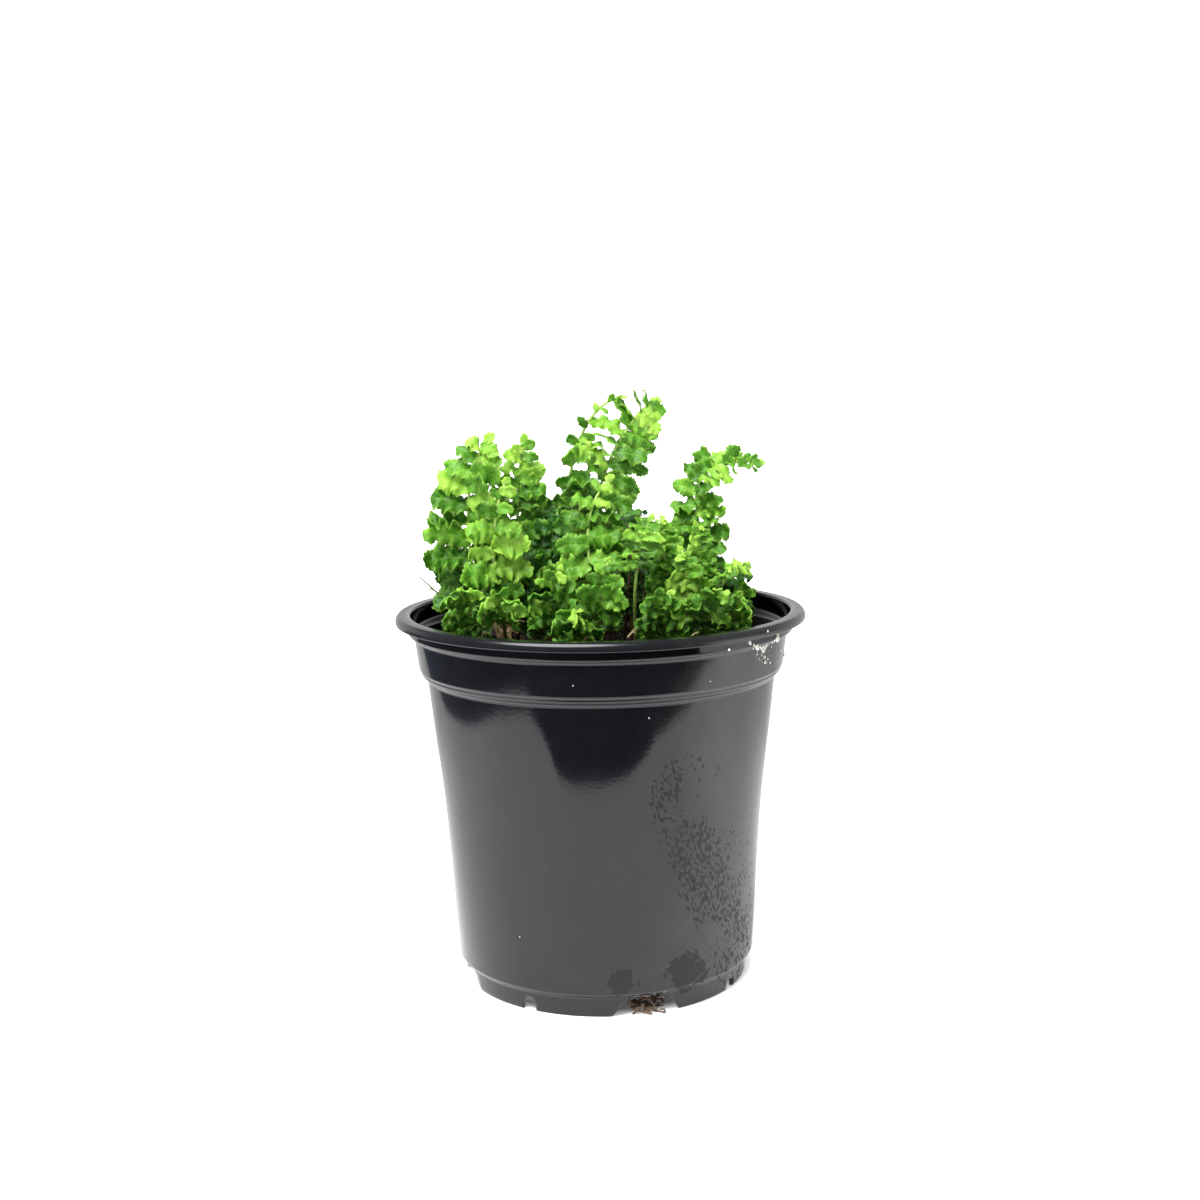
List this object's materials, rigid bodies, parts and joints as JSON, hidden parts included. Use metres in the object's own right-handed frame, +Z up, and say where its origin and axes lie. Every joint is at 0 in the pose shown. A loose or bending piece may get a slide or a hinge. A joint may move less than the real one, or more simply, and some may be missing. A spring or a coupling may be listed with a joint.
{
  "type": "potted fern",
  "caption": "Young ruffled fern growing in a round black plastic nursery pot with a rolled rim, a stacking collar and drainage notches in its foot.",
  "frame": {"origin": "middle of the pot's foot, on the surface that the pot stands on", "axes": "+Z up along the pot's axis, the front of the plant looks to -Y, +X is to the viewer's right"},
  "size_m": [0.165, 0.165, 0.2374],
  "materials": {
    "pot_plastic": "glossy black moulded polypropylene with dried water marks and a few mineral crumbs",
    "potting_mix": null,
    "leaf_fresh": null,
    "leaf_mid": "mid green leaf with a waxy sheen",
    "leaf_deep": "deep green older leaf, slightly glossy"
  },
  "bodies": {
    "root": {"pot": "pot_plastic", "soil": "potting_mix", "frond_01": "leaf_fresh", "frond_02": "leaf_fresh", "frond_03": "leaf_fresh", "frond_04": "leaf_fresh", "frond_05": "leaf_fresh", "frond_06": "leaf_fresh", "frond_07": "leaf_fresh", "frond_08": "leaf_fresh", "frond_09": "leaf_fresh", "frond_10": "leaf_fresh", "frond_11": "leaf_fresh", "frond_12": "leaf_fresh", "frond_13": "leaf_fresh", "frond_14": "leaf_mid", "frond_15": "leaf_mid", "frond_16": "leaf_mid", "frond_17": "leaf_mid", "frond_18": "leaf_mid", "frond_19": "leaf_mid", "frond_20": "leaf_mid", "frond_21": "leaf_mid", "frond_22": "leaf_mid", "frond_23": "leaf_deep", "frond_24": "leaf_deep", "frond_25": "leaf_deep", "frond_26": "leaf_deep", "frond_27": "leaf_deep", "frond_28": "leaf_deep", "frond_29": "leaf_deep", "frond_30": "leaf_deep", "frond_31": "leaf_deep", "frond_32": "leaf_deep", "frond_33": "leaf_deep", "frond_34": "leaf_deep", "frond_35": "leaf_deep"}
  },
  "joints": []
}
